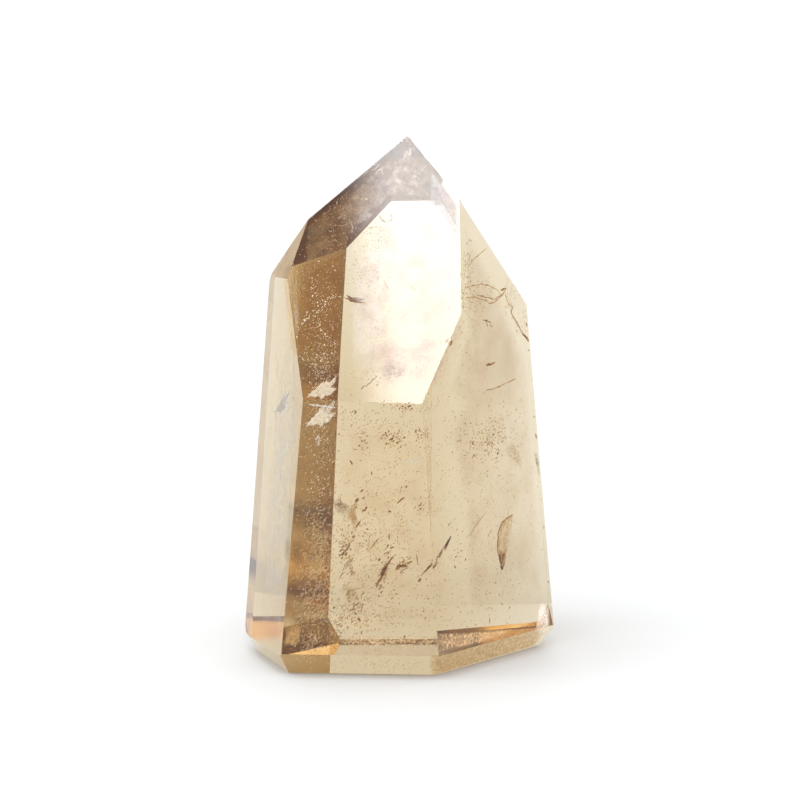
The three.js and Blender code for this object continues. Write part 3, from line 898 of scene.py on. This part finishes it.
# Each feather: name, rim in shares, depth, two colours, least and most cover, grains to the metre, fade to
# the rim, and the strength of the painted light it gives off.
FEATHERS = (
    (
        "tip_wisps",
        (
            (0.3, 0.86), (0.4, 0.925), (0.53, 0.985), (0.6, 0.94), (0.68, 0.89), (0.64, 0.886),
            (0.45, 0.886), (0.365, 0.82), (0.29, 0.835),
        ),
        0.0026, ((0.86, 0.74, 0.65), (0.98, 0.91, 0.86)), (0.0, 0.42), 1100, (0.75, 1.0, 1.0, 0.0), 0.0,
    ),
    (
        "tip_honey",
        (
            (0.19, 0.74), (0.2, 0.838), (0.3, 0.88), (0.42, 0.925), (0.44, 0.895), (0.345, 0.83),
            (0.33, 0.795),
        ),
        0.0018, ((0.64, 0.38, 0.13), (0.78, 0.5, 0.22)), (0.1, 0.32), 420, (0.8, 1.0, 1.0, 0.0), 0.0,
    ),
    (
        # window_haze gives off painted light (0.4) over the bright pane of the tip face.
        "window_haze", ((0.345, 0.78), (0.42, 0.84), (0.48, 0.8), (0.45, 0.64), (0.4, 0.57), (0.34, 0.59)),
        0.0026, ((0.93, 0.9, 0.91), (1.0, 0.97, 0.99)), (0.08, 0.22), 600, (0.5, 1.0, 1.0, 0.0), 0.4,
    ),
    (
        # band_margin gives off a little painted light (0.2).
        "band_margin", ((0.152, 0.758), (0.176, 0.748), (0.184, 0.68), (0.18, 0.62), (0.166, 0.645)),
        0.0028, ((0.8, 0.66, 0.48), (0.92, 0.8, 0.64)), (0.12, 0.4), 300, (0.1, 1.0, 1.0, 0.0), 0.2,
    ),
    (
        "tip_bloom",
        ((0.338, 0.818), (0.35, 0.852), (0.375, 0.888), (0.43, 0.904), (0.452, 0.884), (0.39, 0.842)),
        0.0022, ((0.76, 0.65, 0.58), (0.92, 0.84, 0.78)), (0.12, 0.38), 700, (0.1, 1.0, 1.0, 0.0), 0.0,
    ),
    (
        "corner_bloom",
        (
            (0.596, 0.88), (0.6, 0.938), (0.634, 0.916), (0.657, 0.899), (0.684, 0.88), (0.686, 0.812),
            (0.665, 0.84), (0.625, 0.876),
        ),
        0.0006, ((0.6, 0.55, 0.54), (0.9, 0.87, 0.86)), (0.35, 0.85), 800, (0.8, 1.0, 1.0, 0.3), 0.0,
    ),
    (
        # corner_glint is a painted glint: a pale film giving off light (0.6) at the lower right corner.
        "corner_glint", ((0.932, 0.04), (0.95, 0.1), (0.985, 0.088), (0.988, 0.036), (0.955, 0.026)),
        0.0004, ((1.0, 0.9, 0.8), (1.0, 0.95, 0.9)), (0.25, 0.6), 2600, (0.5, 1.0, 1.0, 0.0), 0.6,
    ),
    (
        # foot_glow is a painted glint: orange light (0.3) given off over the foot.
        "foot_glow",
        ((0.612, 0.094), (0.7, 0.08), (0.86, 0.06), (0.86, 0.046), (0.74, 0.05), (0.615, 0.056)), 0.0004,
        ((0.8, 0.52, 0.26), (1.0, 0.76, 0.46)), (0.15, 0.75), 2600, (0.6, 1.0, 1.0, 0.2), 0.3,
    ),
    (
        # corner_honey gives off a little painted light (0.12), lightening the lower left corner.
        "corner_honey", ((0.13, 0.058), (0.133, 0.106), (0.16, 0.112), (0.19, 0.104), (0.186, 0.066)),
        0.0012, ((0.84, 0.5, 0.14), (0.98, 0.64, 0.26)), (0.22, 0.5), 900, (0.6, 1.0, 1.0, 0.0), 0.12,
    ),
    (
        # foot_line is a painted glint: orange light (0.3) given off along the foot.
        "foot_line", ((0.31, 0.086), (0.622, 0.086), (0.622, 0.066), (0.31, 0.066)), 0.0004,
        ((0.72, 0.5, 0.28), (0.98, 0.76, 0.46)), (0.05, 0.65), 2600, (0.9, 1.0, 1.0, 0.4), 0.3,
    ),
    (
        "left_mist",
        ((0.06, 0.07), (0.122, 0.07), (0.155, 0.35), (0.18, 0.52), (0.16, 0.66), (0.12, 0.56), (0.08, 0.3)),
        0.0006, ((0.86, 0.8, 0.74), (0.97, 0.94, 0.92)), (0.08, 0.34), 420, (0.6, 1.0, 1.0, 0.2), 0.0,
    ),
)
FILM_HALF_THICK = 0.00002
FILM_RAGGED = 0.03
FILM_SEED = 7
STAIN_BAND = (0.38, 0.62)
MIST_BAND = (0.40, 0.68)
FEATHER_BAND = (0.40, 0.70)


def film(name, rim, depth):
    """A flake that follows the front at its own depth, between two skins a hair apart."""
    def at_depth(spots):
        return behind_front(spots[:, 0], spots[:, 1], depth)

    piece = lens(name, rim, at_depth, FILM_HALF_THICK, FILM_RAGGED, FILM_SEED)
    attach(piece, "root")
    return piece


for name, rim, depth, tints, grain, fade in STAINS:
    film(name, rim, depth).data.materials.append(stain(name, tints, grain, STAIN_BAND, fade))
for name, rim, depth, tints, grain, fade in MISTS:
    film(name, rim, depth).data.materials.append(stain(name, tints, grain, MIST_BAND, fade))
for name, rim, depth, colours, cover, grain, fade, light in FEATHERS:
    # The last column is painted light that the feather gives off, in place of light it would throw back.
    finish = inclusion(name, colours, cover, grain, FEATHER_BAND, glow=light, rim=fade)
    film(name, rim, depth).data.materials.append(finish)

# ---------------------------------------------------------------------------
# The studio: a white floor, white all round, and two large soft panels up in
# front, to the right and to the left. The right one has a hot strip, whose
# image lies on the broad front face of the tip.

FLOOR_SIZE = 6.0
AIR_UNDER_FOOT = 0.00005
FLOOR_WHITE = (0.838, 0.852, 0.863)
ROOM_LIGHT = 1.0
PANEL_DISTANCE = 1.4
LIT_SPOT = (0.40, 0.29, 0.78)
HOT_FROM = (-0.0733, -0.6161, 0.7843)
HOT_SPAN = (-0.02, 0.22, -0.09, 0.13)
HOT_FADE = (-0.009, 0.011)
HOT_STRENGTH = 10.6
HOT_SLANT = 0.13
RIGHT_FROM = (0.33, -0.60, 0.73)
RIGHT_SPAN = (-0.52, 0.26, -0.32, 0.30)
RIGHT_FADE = (-0.52, -0.42)
RIGHT_STRENGTH = 1.3
LEFT_FROM = (-0.62, -0.22, 0.75)
LEFT_SPAN = (-0.60, 0.60, -0.55, 0.80)
LEFT_FADE = (-0.60, -0.40)
LEFT_STRENGTH = 1.5


def floor_sheet(size):
    """A level square that runs from minus to plus half its size both ways, an air gap below z = 0."""
    half = size / 2
    across, along = np.meshgrid([-half, half], [-half, half])
    points = np.stack([across, along, np.full_like(across, -AIR_UNDER_FOOT)], axis=-1).reshape(-1, 3)
    mesh = bpy.data.meshes.new("floor")
    mesh.from_pydata(points.tolist(), [], [(0, 1, 3, 2)])
    return placed("floor", mesh)


def floor_white(colour):
    material = bpy.data.materials.new("floor_white")
    material.use_nodes = True
    surface = material.node_tree.nodes["Principled BSDF"]
    surface.inputs["Base Color"].default_value = (*colour, 1.0)
    surface.inputs["Roughness"].default_value = 0.6
    return material


def light_panel(name, lit, towards, distance, span):
    """A flat rectangle square to the line from the lit point towards the light, that far along it.
    Its span is left, right, down and up of that line, in metres, and its UV map holds the same lengths."""
    facing = np.array(towards) / np.linalg.norm(towards)
    across = np.cross((0.0, 0.0, 1.0), facing)
    across = across / np.linalg.norm(across)
    upward = np.cross(facing, across)
    u, v = np.meshgrid(span[:2], span[2:])
    centre = np.array(lit) + distance * facing
    points = (centre + u[..., None] * across + v[..., None] * upward).reshape(-1, 3)
    mesh = bpy.data.meshes.new(name)
    mesh.from_pydata(points.tolist(), [], [(0, 2, 3, 1)])
    place = mesh.uv_layers.new(name="place")
    corners = np.stack([u, v], axis=-1).reshape(-1, 2)[[0, 2, 3, 1]]
    place.data.foreach_set("uv", corners.ravel())
    return placed(name, mesh)


def glow(strength, fade, slant):
    """Light that grows smoothly from nothing across the fade, whose line leans by the slant."""
    material = bpy.data.materials.new("glow")
    material.use_nodes = True
    nodes, links = material.node_tree.nodes, material.node_tree.links
    nodes.clear()
    place = nodes.new("ShaderNodeUVMap")
    place.uv_map = "place"
    split = nodes.new("ShaderNodeSeparateXYZ")
    links.new(place.outputs["UV"], split.inputs["Vector"])
    leaning = nodes.new("ShaderNodeMath")
    leaning.operation = "MULTIPLY_ADD"
    leaning.inputs[1].default_value = slant
    links.new(split.outputs["Y"], leaning.inputs[0])
    links.new(split.outputs["X"], leaning.inputs[2])
    level = nodes.new("ShaderNodeMapRange")
    level.interpolation_type = "SMOOTHSTEP"
    level.inputs["From Min"].default_value = fade[0]
    level.inputs["From Max"].default_value = fade[1]
    level.inputs["To Min"].default_value = 0.0
    level.inputs["To Max"].default_value = strength
    links.new(leaning.outputs[0], level.inputs["Value"])
    light = nodes.new("ShaderNodeEmission")
    links.new(level.outputs[0], light.inputs["Strength"])
    light.inputs["Color"].default_value = (1.0, 1.0, 1.0, 1.0)
    clear = nodes.new("ShaderNodeBsdfTransparent")
    both = nodes.new("ShaderNodeAddShader")
    links.new(light.outputs[0], both.inputs[0])
    links.new(clear.outputs[0], both.inputs[1])
    output = nodes.new("ShaderNodeOutputMaterial")
    links.new(both.outputs[0], output.inputs["Surface"])
    return material


floor = floor_sheet(FLOOR_SIZE)
floor.data.materials.append(floor_white(FLOOR_WHITE))

tip_face = [low[axis] + LIT_SPOT[axis] * (high[axis] - low[axis]) for axis in range(3)]
for name, towards, span, strength, fade, slant in (
    ("hot_panel", HOT_FROM, HOT_SPAN, HOT_STRENGTH, HOT_FADE, HOT_SLANT),
    ("right_panel", RIGHT_FROM, RIGHT_SPAN, RIGHT_STRENGTH, RIGHT_FADE, 0.0),
    ("left_panel", LEFT_FROM, LEFT_SPAN, LEFT_STRENGTH, LEFT_FADE, 0.0),
):
    panel = light_panel(name, tip_face, towards, PANEL_DISTANCE, span)
    panel.data.materials.append(glow(strength, fade, slant))

world = bpy.data.worlds.new("studio")
world.use_nodes = True
room = world.node_tree.nodes["Background"]
room.inputs["Color"].default_value = (1.0, 1.0, 1.0, 1.0)
room.inputs["Strength"].default_value = ROOM_LIGHT
bpy.context.scene.world = world

scene = bpy.context.scene
scene.view_settings.view_transform = "Standard"
scene.cycles.max_bounces = 24
scene.cycles.glossy_bounces = 16
scene.cycles.transmission_bounces = 20
scene.cycles.transparent_max_bounces = 48

# ---------------------------------------------------------------------------
# The camera: a long lens a little above the crystal, square to its front.

CAMERA_LIFT = math.radians(13.2)
CAMERA_AWAY = 1.13
LENS_MM = 371.0
AIM = (0.0003, 0.0067, 0.033)

camera_data = bpy.data.cameras.new("camera")
camera_data.lens = LENS_MM
camera_data.sensor_width = 36.0
camera = bpy.data.objects.new("camera", camera_data)
camera.location = (
    AIM[0],
    AIM[1] - CAMERA_AWAY * math.cos(CAMERA_LIFT),
    AIM[2] + CAMERA_AWAY * math.sin(CAMERA_LIFT),
)
camera.rotation_euler = (math.pi / 2 - CAMERA_LIFT, 0.0, 0.0)
bpy.context.scene.collection.objects.link(camera)
bpy.context.scene.camera = camera
